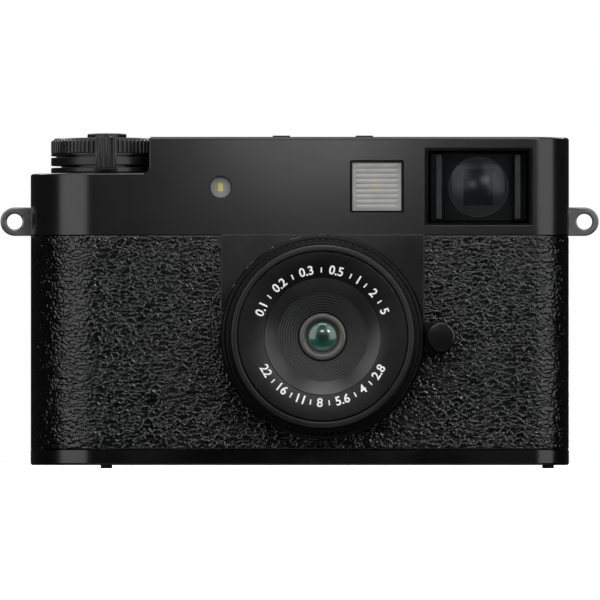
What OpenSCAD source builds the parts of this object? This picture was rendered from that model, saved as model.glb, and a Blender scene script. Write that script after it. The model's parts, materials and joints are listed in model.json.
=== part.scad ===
// Compact digital camera with a fixed lens, a side-mounted optical finder and a
// stack of three coaxial controls. Front faces -Y, +X is to the right seen from
// the front, +Z is up, and the feet stand on Z = 0. All sizes in millimetres.

/* [Body] */
// Width of the body without the strap lugs
body_w = 105.8; // [104:0.1:108]
// Front face of the body, along Y
front_y = -6.6; // [-6.8:0.1:-6.4]
// Back face of the body, along Y
back_y = 20.4; // [20.4:0.1:21]
// Radius of the grip-side front corner, seen from above
grip_r = 12.9; // [12:0.1:14]
// Radius of the other front corner
far_r = 7; // [6:0.5:8]
// Radius of both rear corners
rear_r = 5; // [4:0.5:6]
// Thickness of the cover walls
wall = 1.6; // [1.4:0.1:1.8]
// Thickness of the leather covering
skin = 0.7; // [0.5:0.1:0.8]

/* [Levels] */
// Height of the feet
foot_h = 0.65; // [0.6:0.05:0.8]
// Top of the bottom plate
base_top = 3.6; // [3.4:0.1:3.8]
// Seam between the leather and the top cover
seam_z = 45.8; // [45.6:0.1:46]
// Low deck that carries the controls
deck_z = 57.9; // [57.7:0.1:57.9]
// Top of the raised part of the top cover
top_z = 64.95; // [64.9:0.05:65.2]

/* [Lens] */
// Lens axis, along X
lens_x = 4.5; // [4:0.1:5]
// Lens axis, above the floor
lens_z = 25.7; // [25.5:0.1:26]
// Front of the lens rim, measured forward from Y = 0
rim_h = 22.9; // [22.9:0.1:23.4]
// Outer radius of the front rim
rim_r = 17.8; // [17.6:0.1:18]
// Outer radius of the aperture ring
ring_r = 20; // [19.8:0.1:20]
// Outer radius of the fixed lens tube
tube_r = 15.5; // [15.4:0.1:15.5]

/* [Controls] */
// Control stack axis, along X
stack_x = -37.9; // [-38.2:0.1:-37.8]
// Control stack axis, along Y
stack_y = 6.9; // [6.8:0.1:7]
// Radius of the three stacked controls
stack_r = 11; // [10.8:0.1:11]
// Ribs round the exposure dial
dial_ribs = 74; // [60:1:80]
// Radius of the shutter button
button_r = 3.85; // [3.8:0.05:3.85]

/* [Windows] */
// Finder window centre, along X
finder_x = 35.05; // [34.8:0.05:35.2]
// Finder and flash centre, above the floor
window_z = 55.2; // [55:0.1:55.3]
// Flash window centre, along X
flash_x = 15.15; // [15:0.05:15.3]
// Autofocus lamp centre, along X
lamp_x = -15.45; // [-15.6:0.05:-15.2]
// Cold shoe centre, along X
shoe_x = 4.6; // [4.4:0.1:4.8]

/* [Hidden] */
$fn = 96;
// Radial running clearance of every turning or sliding fit
fit = 0.07;
half_w = body_w / 2;
bore_r = tube_r + fit;
sleeve_r = 4.9;
dial_bore_r = sleeve_r + fit;
step_x = -29.5;
recess_r = 11.9;
split_y = 7;
// Battery and the door below it
battery = [[-48.5, -12.1], [2.8, 18.5], [3.2, 50.3]];
door = [[-48.7, -12.3], [-0.9, 18.7]];
door_axis_z = 1.25;
door_t = 1.2;
// Rear glass panes: [x range, z range]
main_pane = [[-11.5, 22.5], [5.0, 44.2]];
side_pane = [[26.5, 36.5], [8, 42]];
play_pos = [43.5, 38];
// USB flap: hinge axis and extent
flap_axis = [52.4, 15.2];
flap_y0 = 8.2;
flap_z = [14, 26];
usb_y = [10.4, 13.6];
usb_z = [15.5, 24.5];
lug_y = [7.5, 9.5];
lug_hole_x = 56.1;
lug_z = 48.6;
lug_r = 2.8;
socket_pos = [4.5, 7];
screw_pos = [[20, -3.8], [20, 17.6], [44, -3.4], [-9, 17.6], [-9, -3.8], [50, 9]];

// ---- Shared shapes ----

// Box between two corners, given as ranges
module block(x, y, z) {
    translate([x[0], y[0], z[0]])
        cube([x[1] - x[0], y[1] - y[0], z[1] - z[0]]);
}

// Upright cylinder at p = [x, y]
module post(p, r, z) {
    translate([p[0], p[1], z[0]])
        cylinder(r = r, h = z[1] - z[0]);
}

// Cylinder along Y at p = [x, z]
module rod(p, r, y) {
    translate([p[0], y[0], p[1]])
        rotate([-90, 0, 0])
            cylinder(r = r, h = y[1] - y[0]);
}

// Profile of [radius, forward distance] points turned about the lens axis
module lens_turn(points) {
    translate([lens_x, 0, lens_z])
        rotate([90, 0, 0])
            rotate_extrude()
                polygon(points);
}

// Plain ring about the lens axis
module lens_ring(r_in, r_out, h) {
    lens_turn([[r_in, h[0]], [r_out, h[0]], [r_out, h[1]], [r_in, h[1]]]);
}

// Solid element about the lens axis whose front bulges by `rise`
module lens_element(r, h, rise) {
    steps = 12;
    dome = [for (i = [0:steps])
        let (t = i / steps) [r * (1 - t), h[1] - rise + rise * (1 - pow(1 - t, 2))]];
    lens_turn(concat([[0, h[0]], [r, h[0]]], dome));
}

// Rectangle with rounded corners, facing along Y
module pane(x, z, y, r) {
    difference() {
        block(x, y, z);
        for (sx = [0, 1], sz = [0, 1])
            difference() {
                block(corner_span(x, sx, r), [y[0] - 1, y[1] + 1], corner_span(z, sz, r));
                rod([inner_corner(x, sx, r), inner_corner(z, sz, r)], r, [y[0] - 2, y[1] + 2]);
            }
    }
}

function inner_corner(range, side, r) = side == 0 ? range[0] + r : range[1] - r;
function corner_span(range, side, r) = side == 0
    ? [range[0] - 1, range[0] + r]
    : [range[1] - r, range[1] + 1];
function grow(range, by) = [range[0] - by, range[1] + by];

// Body outline seen from above, drawn in by `inset`
module outline(inset) {
    xl = -half_w + inset;
    xr = half_w - inset;
    yf = front_y + inset;
    yb = back_y - inset;
    gr = grip_r - inset;
    fr = far_r - inset;
    rr = rear_r - inset;
    polygon([
        [xl + gr, yf], [xr - fr, yf], [xr, yf + fr], [xr, yb - rr],
        [xr - rr, yb], [xl + rr, yb], [xl, yb - rr], [xl, yf + gr]
    ]);
    translate([xl + gr, yf + gr])
        circle(r = gr);
    translate([xr - fr, yf + fr])
        circle(r = fr);
    translate([xr - rr, yb - rr])
        circle(r = rr);
    translate([xl + rr, yb - rr])
        circle(r = rr);
}

module body_slab(inset, z) {
    translate([0, 0, z[0]])
        linear_extrude(z[1] - z[0])
            outline(inset);
}

// Toothed disc outline: straight-sided ribs between two radii
module ribbed_outline(count, r_root, r_tip) {
    pitch = 360 / count;
    polygon([for (i = [0:count - 1], k = [0:3])
        let (a = i * pitch + pitch * [0, 0.3, 0.5, 0.8][k])
        let (r = [r_tip, r_tip, r_root, r_root][k])
        [r * cos(a), r * sin(a)]]);
}

// ---- Body shells ----

module bottom_plate() {
    color("#17181a")
        difference() {
            body_slab(0, [foot_h, base_top]);
            body_slab(wall, [foot_h + 1.2, base_top + 1]);
            // Battery door opening with room for the hinge knuckle
            block(grow(door[0], 0.1), grow(door[1], 0.1), [0, 3]);
            door_hinge_clearance();
            post(socket_pos, 5, [0, 5]);
            for (p = screw_pos) {
                post(p, 1.35, [0, foot_h + 0.65]);
                post(p, 0.75, [0, 5]);
            }
        }
}

// Clearance for the door knuckle and its swing, and blind holes for its pin ends
module door_hinge_clearance() {
    rod([door[0][1], door_axis_z], 0.75, grow(door[1], 0.1));
    block([door[0][1], door[0][1] + 0.75], grow(door[1], 0.1), [0, door_axis_z]);
    rod([door[0][1], door_axis_z], 0.35 + fit, grow(door[1], 0.7));
}

module front_shell() {
    color("#1b1c1e")
        difference() {
            intersection() {
                difference() {
                    body_slab(skin, [base_top, seam_z]);
                    body_slab(skin + wall - 0.1, [base_top - 1, seam_z + 1]);
                }
                block([-60, 60], [-20, split_y], [0, 60]);
            }
            rod([lens_x, lens_z], tube_r + 0.02, [-20, 0]);
        }
}

module rear_cover() {
    color("#1d1e20")
        difference() {
            intersection() {
                difference() {
                    body_slab(0, [base_top, seam_z]);
                    body_slab(wall, [base_top - 1, seam_z + 1]);
                }
                block([-60, 60], [split_y, 30], [0, 60]);
            }
            block(grow(main_pane[0], 0.05), [15, 25], grow(main_pane[1], 0.05));
            block(grow(side_pane[0], 0.05), [15, 25], grow(side_pane[1], 0.05));
            rod(play_pos, 3.1 + fit, [15, 25]);
            // USB flap pocket, hinge clearance, pin holes and port
            block([51.85, 60], [flap_y0 - 0.1, flap_axis[1]], grow(flap_z, 0.1));
            post(flap_axis, 0.62, grow(flap_z, 0.1));
            block([flap_axis[0], 60], [flap_axis[1] - 0.1, flap_axis[1] + 0.62],
                grow(flap_z, 0.1));
            post(flap_axis, 0.3 + fit, grow(flap_z, 0.7));
            block([48, 60], usb_y, usb_z);
        }
}

module top_cover() {
    color("#141517")
        difference() {
            union() {
                body_slab(0, [seam_z, deck_z]);
                intersection() {
                    body_slab(0, [deck_z, top_z]);
                    block([step_x, 60], [-20, 30], [0, 70]);
                }
            }
            // Round recess for the controls
            post([stack_x, stack_y], recess_r, [deck_z, 70]);
            top_cavity();
            // Cold shoe pocket, open to the rear
            block([shoe_x - 9.9, shoe_x + 9.9], [1.4, 30], [61.95, 70]);
            rod([lamp_x, window_z - 0.1], 2.07, [-20, 0]);
            block([flash_x - 5.15, flash_x + 5.15], [-20, 0], grow([window_z, window_z], 5.05));
            block([finder_x - 10.4, finder_x + 10.4], [-20, 0], [47.62, 62.72]);
            block([finder_x - 6.5, finder_x + 6.5], [15, 30], [window_z - 5, window_z + 5]);
            post([stack_x, stack_y], sleeve_r + 0.02, [50, 60]);
            for (s = [-1, 1])
                block(s > 0 ? [50, 60] : [-60, -50], lug_y, [40, lug_z + lug_r + 0.05]);
        }
}

// Hollow of the top cover: low part, raised part, floor left under the shoe
module top_cavity() {
    body_slab(wall, [seam_z - 1, deck_z - 1.4]);
    difference() {
        intersection() {
            body_slab(wall, [deck_z - 2, top_z - 1.5]);
            block([step_x + 1.5, 60], [-20, 30], [0, 70]);
        }
        post([stack_x, stack_y], recess_r + 1.4, [0, 80]);
        block([shoe_x - 11.3, shoe_x + 11.3], [0, 30], [60.6, 70]);
    }
}

// Smooth panel outline behind the lens: straight sides, round bottom
module panel_shape(half, y) {
    block([lens_x - half, lens_x + half], y, [lens_z, seam_z]);
    rod([lens_x, lens_z], half, y);
}

module front_leather() {
    color("#1f2022")
        difference() {
            intersection() {
                difference() {
                    body_slab(0, [base_top, seam_z]);
                    body_slab(skin, [base_top - 1, seam_z + 1]);
                }
                block([-60, 60], [-20, split_y], [0, 60]);
            }
            panel_shape(20, [-20, 0]);
        }
}

module lens_panel() {
    color("#0d0e10")
        difference() {
            panel_shape(19.95, [front_y - 0.15, front_y + skin]);
            rod([lens_x, lens_z], tube_r + 0.02, [-20, 0]);
        }
}

module strap_lugs() {
    color("#55565a")
        for (s = [0, 1])
            mirror([s, 0, 0])
                difference() {
                    union() {
                        block([51.25, lug_hole_x], lug_y, [lug_z - lug_r, lug_z + lug_r]);
                        rod([lug_hole_x, lug_z], lug_r, lug_y);
                        block([50.2, 51.25], [5.8, 11.2], [46, 51.2]);
                    }
                    rod([lug_hole_x, lug_z], 1.55, [0, 20]);
                }
}

module chassis() {
    color("#8d9094") {
        difference() {
            block([-11.8, 24], [-4.2, -2.7], [4, 45]);
            rod([lens_x, lens_z], 6.05, [-10, 0]);
        }
        // Battery chamber: side wall, card divider and roof
        block([-11.8, -11], [-2.7, 18.6], [4, 51.1]);
        block([-48.5, -11.8], [2, 2.6], [4, 51.1]);
        block([-48.5, -11.8], [2.6, 18.6], [50.5, 51.1]);
    }
}

module cold_shoe() {
    color("#2b2c2f")
        difference() {
            block([shoe_x - 9.85, shoe_x + 9.85], [1.45, back_y - 0.1], [61.97, 65.4]);
            block([shoe_x - 9.3, shoe_x + 9.3], [3, 30], [62.6, 64.6]);
            block([shoe_x - 6.45, shoe_x + 6.45], [3, 30], [62.6, 70]);
            block([shoe_x - 6.45, shoe_x + 6.45], [0, 30], [top_z, 70]);
        }
}

module feet() {
    color("#0c0c0d") {
        post([-38, -4.4], 1, [0, foot_h]);
        post([48.9, -2.5], 1, [0, foot_h]);
        post([48.9, 15.5], 1, [0, foot_h]);
        block([-39, -37], [19, 20.2], [0, foot_h]);
    }
}

module cover_screws() {
    color("#3a3b3e")
        for (p = screw_pos)
            difference() {
                union() {
                    post(p, 1.3, [foot_h + 0.08, foot_h + 0.65]);
                    post(p, 0.7, [foot_h + 0.65, 3.4]);
                }
                for (a = [0, 90])
                    translate([p[0], p[1], 0])
                        rotate(a)
                            block([-0.8, 0.8], [-0.15, 0.15], [0, foot_h + 0.4]);
            }
}

// ---- Lens ----

module lens_flange() {
    color("#161719")
        lens_turn([[tube_r + 0.02, 6.76], [19, 6.76], [19, 9.1], [18.7, 9.4],
            [tube_r + 0.02, 9.4]]);
}

// Fixed tube with the front rim
module lens_barrel() {
    color("#101113")
        lens_turn([
            [14, 4.21], [tube_r, 4.21], [tube_r, 19], [rim_r, 19],
            [rim_r, rim_h - 0.35], [rim_r - 0.35, rim_h], [16.9, rim_h],
            [16.6, rim_h - 0.3], [16.6, 21.3], [14, 21.3]
        ]);
}

module aperture_ring() {
    color("#1a1b1d") {
        lens_turn([[bore_r, 9.7], [ring_r - 0.4, 9.7], [ring_r, 10.1],
            [ring_r, 13.6], [ring_r - 0.5, 14.1], [bore_r, 14.1]]);
        // Lever arm
        difference() {
            union() {
                block([lens_x + 17, lens_x + 23.1], [-12.9, -10],
                    [lens_z - 2.95, lens_z + 2.95]);
                rod([lens_x + 23.1, lens_z], 2.95, [-12.9, -10]);
            }
            rod([lens_x, lens_z], 16.5, [-20, 0]);
        }
        // Grip ribs above and below the arm
        for (side = [-1, 1], i = [0:4])
            translate([lens_x, 0, lens_z])
                rotate([0, side * (13 + i * 3), 0])
                    rod([ring_r - 0.15, 0], 0.4, [-13.5, -10.3]);
    }
}

module aperture_knob() {
    color("#232427")
        translate([lens_x + 23.1, -12.9, lens_z])
            rotate([90, 0, 0])
                rotate_extrude()
                    polygon([[0, 0], [2.4, 0], [2.4, 0.5], [2.73, 0.7],
                        [2.73, 2.4], [2.4, 2.75], [1.9, 2.75], [1.7, 2.6], [0, 2.6]]);
}

module focus_ring() {
    color("#161719")
        difference() {
            translate([lens_x, -14.4, lens_z])
                rotate([90, 0, 0])
                    linear_extrude(4.3)
                        ribbed_outline(90, 18.6, 19);
            rod([lens_x, lens_z], bore_r, [-30, 0]);
        }
}

module name_ring() {
    color("#0e0f11")
        lens_turn([[11.4, 20.6], [13.95, 20.6], [13.95, 21.32], [16.4, 21.32],
            [16.4, 22.3], [11.4, 21.8]]);
}

// Dark cone with five stepped rings down to the front glass
module front_baffle() {
    steps = [for (i = [0:4], k = [0, 1]) [8.7 - 0.8 * (i + k), 19.45 - 0.45 * i]];
    color("#0a0a0b")
        lens_turn(concat([[4.7, 16.9], [13.95, 16.9], [13.95, 20.55], [11.35, 20.55],
            [11.35, 21.6], [8.7, 19.9]], steps));
}

module front_bezel() {
    color("#0c0c0e")
        lens_turn([[3, 15.2], [4.65, 15.2], [4.65, 17.6], [4.3, 17.9],
            [3.6, 17.9], [3, 17.1]]);
}

module front_element() {
    color([0.2, 0.35, 0.3, 0.6])
        lens_element(2.95, [15.2, 17.7], 0.9);
}

module iris_unit() {
    color("#2a2b2e")
        lens_turn([[5, 12.9], [13.9, 12.9], [13.9, 15.1], [9, 16.8], [5, 16.8]]);
}

module iris_blades() {
    color("#3b3c40")
        lens_ring(2.4, 13, [12.4, 12.88]);
}

// Moving cell that the focus ring drives along the axis
module focus_cell() {
    color("#303134")
        lens_turn([[4, 5.4], [12, 5.4], [12, 7], [8, 7.6], [8, 10.4], [4, 10.4]]);
}

module middle_element() {
    color([0.3, 0.4, 0.45, 0.5])
        lens_element(3.97, [5.8, 10.2], 1);
}

module rear_element() {
    color([0.3, 0.4, 0.45, 0.5])
        lens_element(6.02, [1.5, 4.8], 0.6);
}

// ---- Electronics ----

module sensor_glass() {
    color([0.3, 0.35, 0.45, 0.6])
        block([lens_x - 5.2, lens_x + 5.2], [7.4, 8.2], [lens_z - 7.6, lens_z + 7.6]);
}

module sensor() {
    color("#2f2b45")
        block([lens_x - 5.2, lens_x + 5.2], [8.2, 9.2], [lens_z - 7.6, lens_z + 7.6]);
}

module main_board() {
    color("#1f4a33") {
        block([-10.4, 43], [9.2, 10.4], [10, 44]);
        block([36, 43], [9.2, 10.4], [9, 10]);
        for (c = [[-6, 30, 9], [28, 26, 8], [28, 14, 6]])
            block([c[0], c[0] + c[2]], [10.4, 11.6], [c[1], c[1] + c[2]]);
    }
}

// ---- Finder, flash and lamp ----

module finder_bezel() {
    color("#0b0b0c")
        difference() {
            pane([finder_x - 10.35, finder_x + 10.35], [47.65, 62.7], [front_y - 0.05, -3.2], 0.45);
            pane([finder_x - 9.9, finder_x + 9.9], [48.05, 62.3], [-10, front_y + 1], 0.4);
            block([finder_x - 9.3, finder_x + 9.3], [-8, 0], [48.6, 61.7]);
        }
}

module finder_window() {
    color([0.15, 0.16, 0.18, 0.35])
        block([finder_x - 9.85, finder_x + 9.85], [front_y + 0.15, front_y + 0.98], [48.1, 62.25]);
}

// Dark inner plate with two upright bars and the round objective opening
module finder_mask() {
    color("#101012") {
        difference() {
            block([finder_x - 9.3, finder_x + 9.3], [-3.18, -2.2], [48.6, 61.7]);
            rod([finder_x, window_z], 5.9, [-10, 10]);
        }
        for (side = [-1, 1])
            block(grow([finder_x + side * 7.7, finder_x + side * 7.7], 0.5),
                [-4.8, -3.18], [49, 61.3]);
    }
}

module finder_objective() {
    color([0.25, 0.27, 0.32, 0.5])
        translate([finder_x, -2.2, window_z])
            rotate([90, 0, 0])
                rotate_extrude()
                    polygon(concat([[0, 0], [5.85, 0]],
                        [for (i = [0:10]) [5.85 * (1 - i / 10), 0.6 + 1.2 * (1 - pow(1 - i / 10, 2))]]));
}

module finder_tube() {
    color("#161618")
        difference() {
            block([finder_x - 7, finder_x + 7], [-2.2, 17.9], [48.3, 62.1]);
            block([finder_x - 4.8, finder_x + 4.8], [-5, 20], [window_z - 4, window_z + 4]);
        }
}

module finder_eyepiece() {
    color([0.25, 0.27, 0.32, 0.5])
        pane([finder_x - 5.2, finder_x + 5.2], [window_z - 4.2, window_z + 4.2], [17.9, 19.6], 1.3);
}

module eyecup() {
    color("#151516")
        difference() {
            union() {
                pane([finder_x - 8.5, finder_x + 8.5], [window_z - 7, window_z + 7],
                    [back_y, 22.9], 2.5);
                block([finder_x - 6.45, finder_x + 6.45], [18.9, back_y],
                    [window_z - 4.95, window_z + 4.95]);
            }
            pane([finder_x - 5.3, finder_x + 5.3], [window_z - 4.3, window_z + 4.3],
                [17, 25], 1.2);
        }
}

module flash_bezel() {
    color("#0b0b0c")
        difference() {
            pane(grow([flash_x, flash_x], 5.1), grow([window_z, window_z], 5),
                [front_y - 0.1, -3.2], 0.5);
            block(grow([flash_x, flash_x], 4.8), [-10, front_y + 1.1], grow([window_z, window_z], 4.7));
            block(grow([flash_x, flash_x], 4.3), [-10, 0], grow([window_z, window_z], 4.2));
        }
}

// Ribbed window
module flash_lens() {
    color([0.75, 0.75, 0.74, 0.7]) {
        block(grow([flash_x, flash_x], 4.78), [front_y + 0.3, front_y + 1.1],
            grow([window_z, window_z], 4.68));
        for (i = [-4:4])
            block(grow([flash_x, flash_x], 4.05), [front_y + 0.08, front_y + 0.3],
                grow([window_z + i, window_z + i], 0.3));
    }
}

module flash_led() {
    color("#c9c6b4") {
        block(grow([flash_x, flash_x], 4.9), [-3.2, -2.2], grow([window_z, window_z], 4.8));
        block(grow([flash_x, flash_x], 0.9), [-3.9, -3.2], grow([window_z, window_z], 1.4));
    }
}

module af_lamp_lens() {
    color([0.5, 0.5, 0.4, 0.6])
        rod([lamp_x, window_z - 0.1], 2.05, [front_y + 0.15, front_y + 1.2]);
}

module af_lamp_led() {
    color("#c8c070") {
        rod([lamp_x, window_z - 0.1], 2.6, [-4.4, -3.6]);
        block(grow([lamp_x, lamp_x], 0.45), [-5, -4.4], grow([window_z - 0.1, window_z - 0.1], 0.8));
    }
}

// ---- Control stack ----

// Fixed sleeve that the three controls turn on and the button slides in
module control_sleeve() {
    color("#26272a")
        difference() {
            union() {
                post([stack_x, stack_y], sleeve_r, [51.3, 64.75]);
                post([stack_x, stack_y], 7, [55.3, deck_z - 1.4]);
            }
            post([stack_x, stack_y], button_r + fit, [52.2, 70]);
        }
}

module stack_washers() {
    color("#0d0d0e")
        for (w = [[9, deck_z, 58.08], [9, 59.12, 59.53], [10, 61.12, 61.43]])
            difference() {
                post([stack_x, stack_y], w[0], [w[1], w[2]]);
                post([stack_x, stack_y], sleeve_r + 0.01, [50, 70]);
            }
}

module shutter_button() {
    color("#1c1d1f")
        translate([stack_x, stack_y, 0])
            rotate_extrude()
                polygon([[0, 58.5], [button_r, 58.5], [button_r, 65.5], [3.7, 65.8],
                    [3.4, 65.9], [2.8, 65.87], [1.4, 65.72], [0, 65.65]]);
}

// Return spring: a stack of closed wire rings stands for the coil
module button_spring() {
    color("#b9bcc0")
        translate([stack_x, stack_y, 0])
            for (i = [0:5])
                translate([0, 0, 52.6 + i * 1.05])
                    rotate_extrude()
                        translate([2.9, 0])
                            circle(r = 0.3, $fn = 16);
}

module exposure_dial() {
    color("#1b1c1e")
        difference() {
            translate([stack_x, stack_y, 0]) {
                translate([0, 0, 61.7])
                    linear_extrude(2.8)
                        ribbed_outline(dial_ribs, stack_r - 0.4, stack_r - 0.05);
                cylinder_at([61.45, 61.7], stack_r);
                cylinder_at([64.5, 64.9], stack_r - 0.5);
            }
            post([stack_x, stack_y], dial_bore_r, [50, 70]);
        }
}

module cylinder_at(z, r) {
    translate([0, 0, z[0]])
        cylinder(r = r, h = z[1] - z[0]);
}

// Switch ring with an upright ribbed post in front of the stack
module power_lever() {
    color("#232427")
        translate([stack_x, stack_y, 0]) {
            difference() {
                cylinder_at([59.55, 61.1], stack_r);
                translate([0, 0, 50])
                    cylinder(r = dial_bore_r, h = 20);
            }
            block([-1.9, 1.9], [-11.6, -10.6], [59.55, 61.1]);
            block([-2.1, 2.1], [-13.2, -11.3], [58.9, 64.9]);
            block([-2.4, 2.4], [-13.2, -11.3], [58.5, 58.9]);
            for (x = [-1.5, -0.5, 0.5, 1.5])
                translate([x, -13.15, 59])
                    cylinder(r = 0.25, h = 5.7, $fn = 16);
        }
}

// Flat annular sector between two angles under 90 degrees apart
module sector(r, a, z) {
    reach = 2 * r[1];
    translate([0, 0, z[0]])
        linear_extrude(z[1] - z[0])
            intersection() {
                difference() {
                    circle(r = r[1]);
                    circle(r = r[0]);
                }
                polygon([[0, 0], reach * [cos(a[0]), sin(a[0])],
                    reach * [cos(a[1]), sin(a[1])]]);
            }
}

// Frame advance lever: flat ring with a thumb piece behind the stack
module advance_lever() {
    color("#1a1b1d")
        translate([stack_x, stack_y, 0]) {
            difference() {
                cylinder_at([58.1, 59.1], stack_r);
                translate([0, 0, 50])
                    cylinder(r = dial_bore_r, h = 20);
            }
            sector([10.5, 13.4], [62, 125], [58.1, 59.1]);
            sector([12, 14.2], [95, 125], [58.1, 62.5]);
        }
}

// ---- Rear and side ----

module main_display() {
    color("#24262a")
        block(grow(main_pane[0], -1), [16.2, 19.2], grow(main_pane[1], -0.6));
}

module main_display_glass() {
    color("#08090b")
        block(main_pane[0], [19.2, back_y - 0.05], main_pane[1]);
}

module side_display() {
    color("#24262a")
        block(grow(side_pane[0], -0.5), [16.8, 19.2], grow(side_pane[1], -1));
}

module side_display_glass() {
    color("#08090b")
        block(side_pane[0], [19.2, back_y - 0.05], side_pane[1]);
}

module playback_button() {
    color("#26272a") {
        rod(play_pos, 3.1, [18.2, back_y + 0.5]);
        rod(play_pos, 4, [17.2, 18.2]);
    }
}

module thumb_rest() {
    color("#161617")
        pane([-47, -30], [10, 42], [back_y, back_y + 0.9], 2.5);
}

module usb_flap() {
    color("#1d1e20") {
        block([51.95, 52.85], [flap_y0, flap_axis[1]], flap_z);
        post(flap_axis, 0.5, flap_z);
        post(flap_axis, 0.3, grow(flap_z, 0.6));
    }
}

module usb_socket() {
    color("#a5a8ac") {
        difference() {
            block([43.5, 51.25], usb_y, usb_z);
            block([44.3, 60], [10.8, 13.2], [15.9, 24.1]);
        }
        block([44.3, 50.4], [11.7, 12.3], [16.8, 23.2]);
    }
}

// ---- Underside ----

// Blind socket for a tripod screw; the bore is at the thread's minor diameter
module tripod_socket() {
    color("#9a9da1")
        difference() {
            post(socket_pos, 4.98, [foot_h, 8.6]);
            post(socket_pos, 2.6, [0, 7.1]);
        }
}

module battery_door() {
    color("#17181a")
        difference() {
            union() {
                block([door[0][0], door[0][1]], door[1], [foot_h, foot_h + door_t]);
                rod([door[0][1], door_axis_z], 0.6, door[1]);
                rod([door[0][1], door_axis_z], 0.35, grow(door[1], 0.6));
            }
            block([-47.6, -38.4], [4.9, 13.1], [0, foot_h + 0.75]);
        }
}

module battery_latch() {
    color("#2a2b2e")
        difference() {
            block([-47.5, -40.5], [5, 13], [foot_h + 0.05, foot_h + 0.7]);
            for (i = [0:3])
                block([-46.5 + i * 1.4, -45.9 + i * 1.4], [6, 12], [0, foot_h + 0.3]);
        }
}

module battery() {
    color("#2d2e31")
        block(battery[0], battery[1], battery[2]);
}

module memory_card() {
    color("#20304f")
        block([-38, -14], [-0.4, 1.7], [3.2, 35.2]);
}

bottom_plate();
front_shell();
rear_cover();
top_cover();
front_leather();
lens_panel();
strap_lugs();
chassis();
cold_shoe();
feet();
cover_screws();
lens_flange();
lens_barrel();
aperture_ring();
aperture_knob();
focus_ring();
name_ring();
front_baffle();
front_bezel();
front_element();
iris_unit();
iris_blades();
focus_cell();
middle_element();
rear_element();
sensor_glass();
sensor();
main_board();
finder_bezel();
finder_window();
finder_mask();
finder_objective();
finder_tube();
finder_eyepiece();
eyecup();
flash_bezel();
flash_lens();
flash_led();
af_lamp_lens();
af_lamp_led();
control_sleeve();
stack_washers();
shutter_button();
button_spring();
exposure_dial();
power_lever();
advance_lever();
main_display();
main_display_glass();
side_display();
side_display_glass();
playback_button();
thumb_rest();
usb_flap();
usb_socket();
tripod_socket();
battery_door();
battery_latch();
battery();
memory_card();
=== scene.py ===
"""Compact digital camera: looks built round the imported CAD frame. Lengths below are millimetres
unless a name says otherwise, and MM turns them into Blender's metres."""

import json
import math

import bmesh
import bpy
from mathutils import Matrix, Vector, noise


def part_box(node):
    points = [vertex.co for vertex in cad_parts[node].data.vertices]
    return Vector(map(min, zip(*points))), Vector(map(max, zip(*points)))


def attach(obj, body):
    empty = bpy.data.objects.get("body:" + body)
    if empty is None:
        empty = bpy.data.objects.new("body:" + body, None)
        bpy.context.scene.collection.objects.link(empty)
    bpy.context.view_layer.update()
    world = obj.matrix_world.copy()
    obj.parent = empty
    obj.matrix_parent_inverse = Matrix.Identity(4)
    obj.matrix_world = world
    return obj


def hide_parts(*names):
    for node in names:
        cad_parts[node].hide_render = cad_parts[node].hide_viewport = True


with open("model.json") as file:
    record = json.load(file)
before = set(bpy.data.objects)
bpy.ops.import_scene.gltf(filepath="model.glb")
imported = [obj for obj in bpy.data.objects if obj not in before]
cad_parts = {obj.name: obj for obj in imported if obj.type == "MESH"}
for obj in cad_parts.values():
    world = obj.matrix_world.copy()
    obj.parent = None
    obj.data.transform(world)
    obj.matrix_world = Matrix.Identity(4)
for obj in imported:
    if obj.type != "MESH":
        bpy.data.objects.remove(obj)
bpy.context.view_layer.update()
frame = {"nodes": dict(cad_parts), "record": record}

MM = 0.001
TURN = 2 * math.pi
NODE_BODY = {node: body for body, nodes in frame["record"]["behaviour"]["bodies"].items()
             for node in nodes}


# -------- places read from the frame

BOXES = {}


def box_mm(node):
    """Lowest and highest corner of a CAD node, in millimetres."""
    if node not in BOXES:
        low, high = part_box(node)
        BOXES[node] = (low / MM, high / MM)
    return BOXES[node]


def centre_mm(node):
    low, high = box_mm(node)
    return (low + high) / 2


LENS = centre_mm("name_ring")
STACK = centre_mm("control_sleeve")
KNOB = centre_mm("aperture_knob")
FINDER = centre_mm("finder_window")
FLASH = centre_mm("flash_lens")
LAMP = centre_mm("af_lamp_lens")
LEATHER_LOW, LEATHER_HIGH = box_mm("front_leather")
BODY_LOW, BODY_HIGH = box_mm("top_cover")
BASE_LOW, BASE_HIGH = box_mm("bottom_plate")
RIM = -box_mm("lens_barrel")[0].y
DECK = box_mm("stack_washers")[0].z

# Sizes that the frame's boxes don't give: the body's corner radii and wall, the points round a
# corner, the raised part's left end, half the smooth lens panel, the fixed lens tube, the bore of
# the controls and the places of the base screws.
GRIP_R, FAR_R, REAR_R, WALL = 12.9, 7.0, 5.0, 1.6
CORNER_STEPS = 14
STEP_X = -29.5
PANEL_HALF = 19.6
TUBE_R = 15.5
BORE_R = 4.92
SCREWS = ((20, -3.8), (20, 17.6), (44, -3.4), (-9, 17.6), (-9, -3.8), (50, 9))


# -------- objects and meshes

def new_object(name, data):
    item = bpy.data.objects.new(name, data)
    bpy.context.scene.collection.objects.link(item)
    return item


def new_mesh(name, vertices, faces):
    """Mesh data from points in millimetres."""
    mesh = bpy.data.meshes.new(name)
    mesh.from_pydata([Vector(v) * MM for v in vertices], [], faces)
    return mesh


class Edited:
    """The mesh as a bmesh, written back when the block ends."""

    def __init__(self, mesh):
        self.mesh, self.work = mesh, bmesh.new()
        self.work.from_mesh(mesh)

    def __enter__(self):
        return self.work

    def __exit__(self, *error):
        self.work.to_mesh(self.mesh)
        self.work.free()


# -------- materials

def new_material(name):
    material = bpy.data.materials.new(name)
    material.use_nodes = True
    material.node_tree.nodes.clear()
    return material, material.node_tree.nodes, material.node_tree.links


def set_inputs(node, values):
    for name, value in values.items():
        node.inputs[name].default_value = value


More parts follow.
